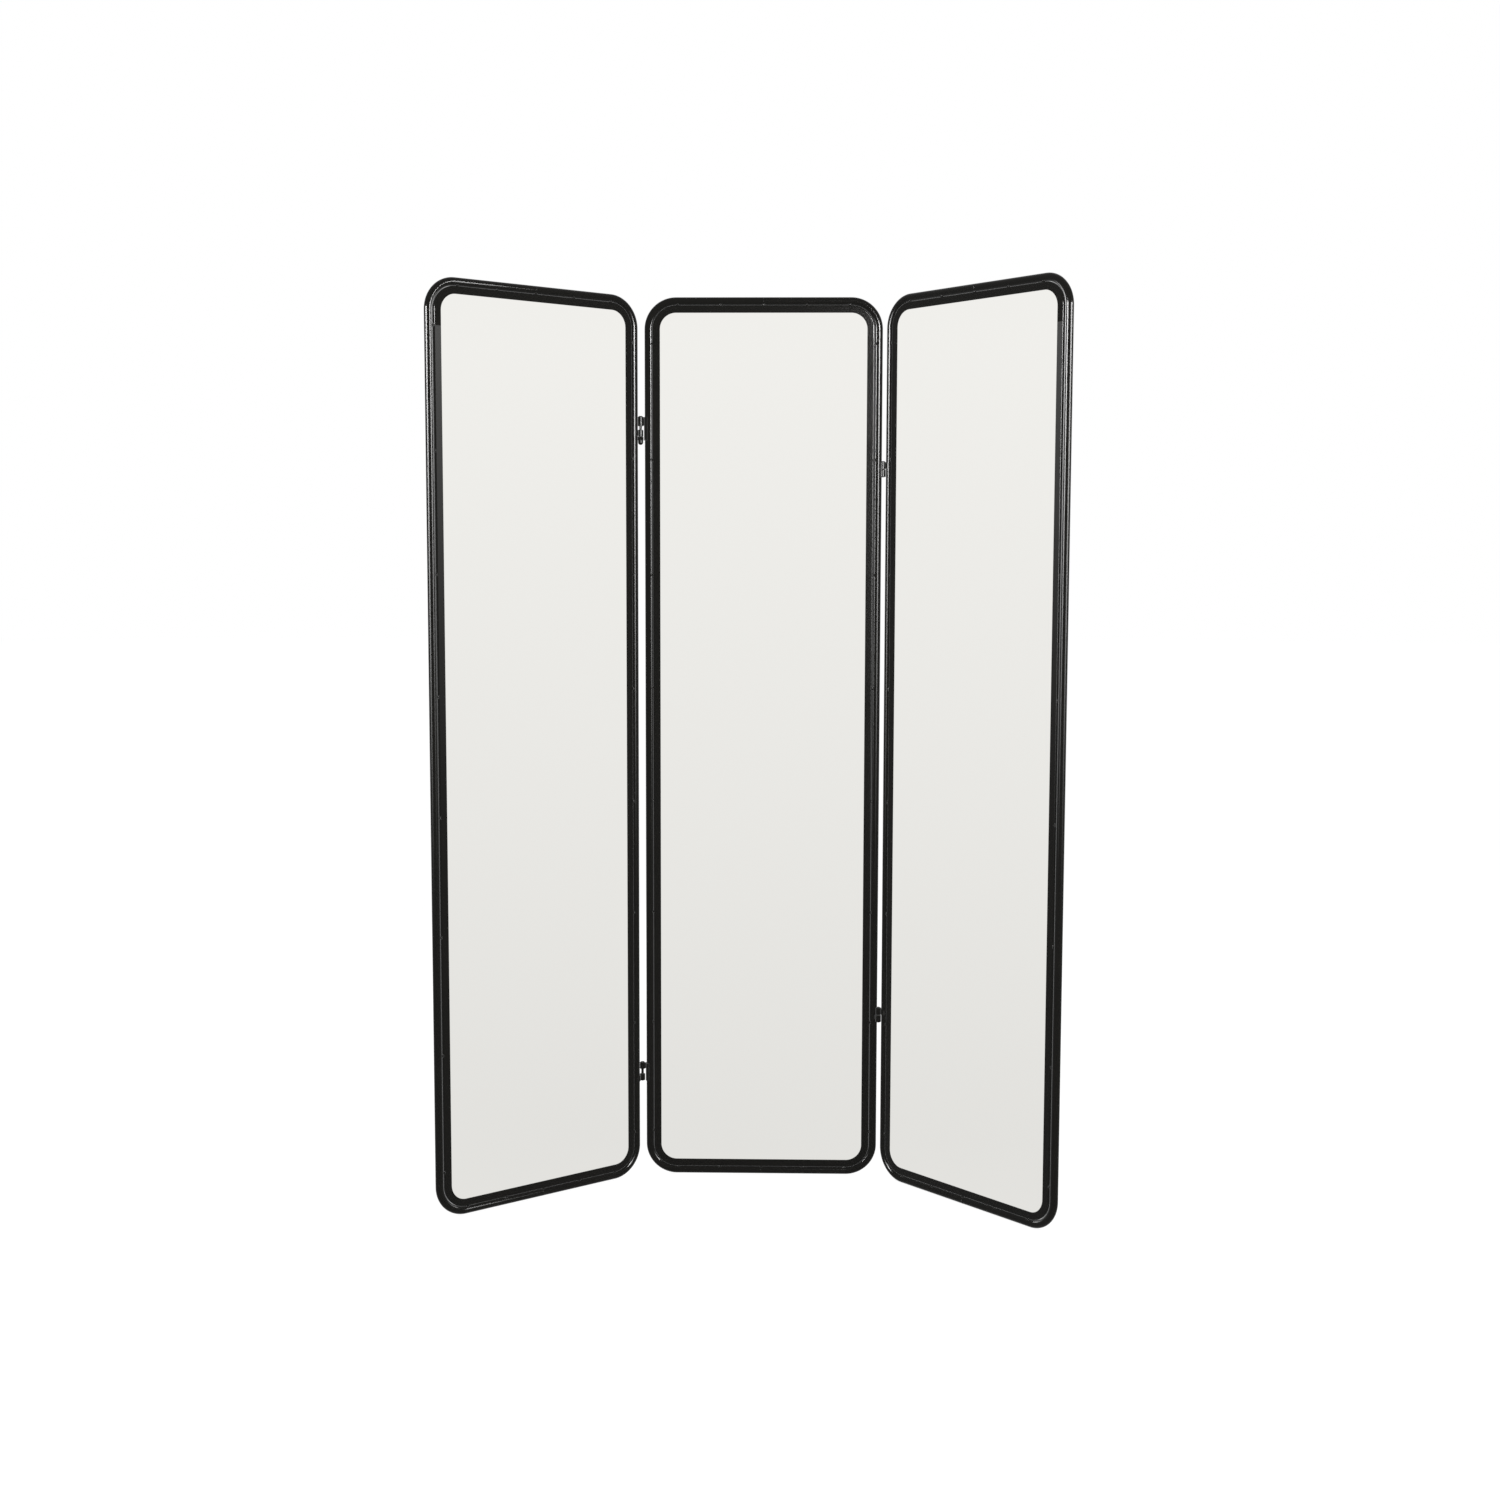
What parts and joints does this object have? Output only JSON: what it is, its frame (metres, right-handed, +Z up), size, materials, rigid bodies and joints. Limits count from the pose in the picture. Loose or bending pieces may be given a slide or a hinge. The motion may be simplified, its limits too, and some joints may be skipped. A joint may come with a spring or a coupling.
{
  "type": "three panel floor mirror",
  "caption": "Free-standing floor mirror: a tall centre panel and two folding wings in bent round tube frames, joined edge to edge by pin hinges.",
  "frame": {"origin": "on the floor, at the middle of the rectangle of ground that the mirror covers with its wings folded forward as stored", "axes": "+Z up; the mirrors face -Y, so +Y is towards the back of the centre panel; +X is to the right of a person who faces the mirror"},
  "size_m": [1.1285, 0.354, 1.7],
  "materials": {
    "black_paint": "semi-gloss warm black paint on steel",
    "mirror_glass": "rear-silvered float glass",
    "backing": "dark smooth hardboard",
    "rubber": "matt black rubber",
    "plated_steel": "zinc-plated steel"
  },
  "bodies": {
    "centre_panel": {"centre_tube_left": "black_paint", "centre_tube_right": "black_paint", "centre_joint_sleeves": "plated_steel", "centre_band_top": "black_paint", "centre_band_bottom": "black_paint", "centre_band_left": "black_paint", "centre_band_right": "black_paint", "centre_weld_beads": "black_paint", "centre_mirror_glass": "mirror_glass", "centre_setting_blocks": "rubber", "centre_backing_board": "backing", "centre_glazing_beads": "black_paint", "centre_bead_screws": "plated_steel", "left_upper_hinge_centre_knuckle": "black_paint", "left_upper_hinge_pin": "black_paint", "left_upper_hinge_cap_nut": "black_paint", "left_lower_hinge_centre_knuckle": "black_paint", "left_lower_hinge_pin": "black_paint", "right_upper_hinge_centre_knuckle": "black_paint", "right_upper_hinge_pin": "black_paint", "right_lower_hinge_centre_knuckle": "black_paint", "right_lower_hinge_pin": "black_paint"},
    "left_wing": {"left_tube_outer": "black_paint", "left_tube_inner": "black_paint", "left_joint_sleeves": "plated_steel", "left_band_top": "black_paint", "left_band_bottom": "black_paint", "left_band_outer": "black_paint", "left_band_inner": "black_paint", "left_weld_beads": "black_paint", "left_mirror_glass": "mirror_glass", "left_setting_blocks": "rubber", "left_backing_board": "backing", "left_glazing_beads": "black_paint", "left_bead_screws": "plated_steel", "left_upper_hinge_wing_knuckle": "black_paint", "left_lower_hinge_wing_knuckle": "black_paint"},
    "right_wing": {"right_tube_inner": "black_paint", "right_tube_outer": "black_paint", "right_joint_sleeves": "plated_steel", "right_band_top": "black_paint", "right_band_bottom": "black_paint", "right_band_inner": "black_paint", "right_band_outer": "black_paint", "right_weld_beads": "black_paint", "right_mirror_glass": "mirror_glass", "right_setting_blocks": "rubber", "right_backing_board": "backing", "right_glazing_beads": "black_paint", "right_bead_screws": "plated_steel", "right_upper_hinge_wing_knuckle": "black_paint", "right_lower_hinge_wing_knuckle": "black_paint"}
  },
  "joints": [
    {"name": "left_wing_fold", "type": "hinge", "parent": "centre_panel", "child": "left_wing", "pos_m": [-0.2066, 0.16898, 0.85], "axis": [0, 0, 1], "range_deg": [-154.3, 60.7]},
    {"name": "right_wing_fold", "type": "hinge", "parent": "centre_panel", "child": "right_wing", "pos_m": [0.2554, 0.1601, 0.85], "axis": [0, 0, -1], "range_deg": [-63.7, 66.3]}
  ]
}
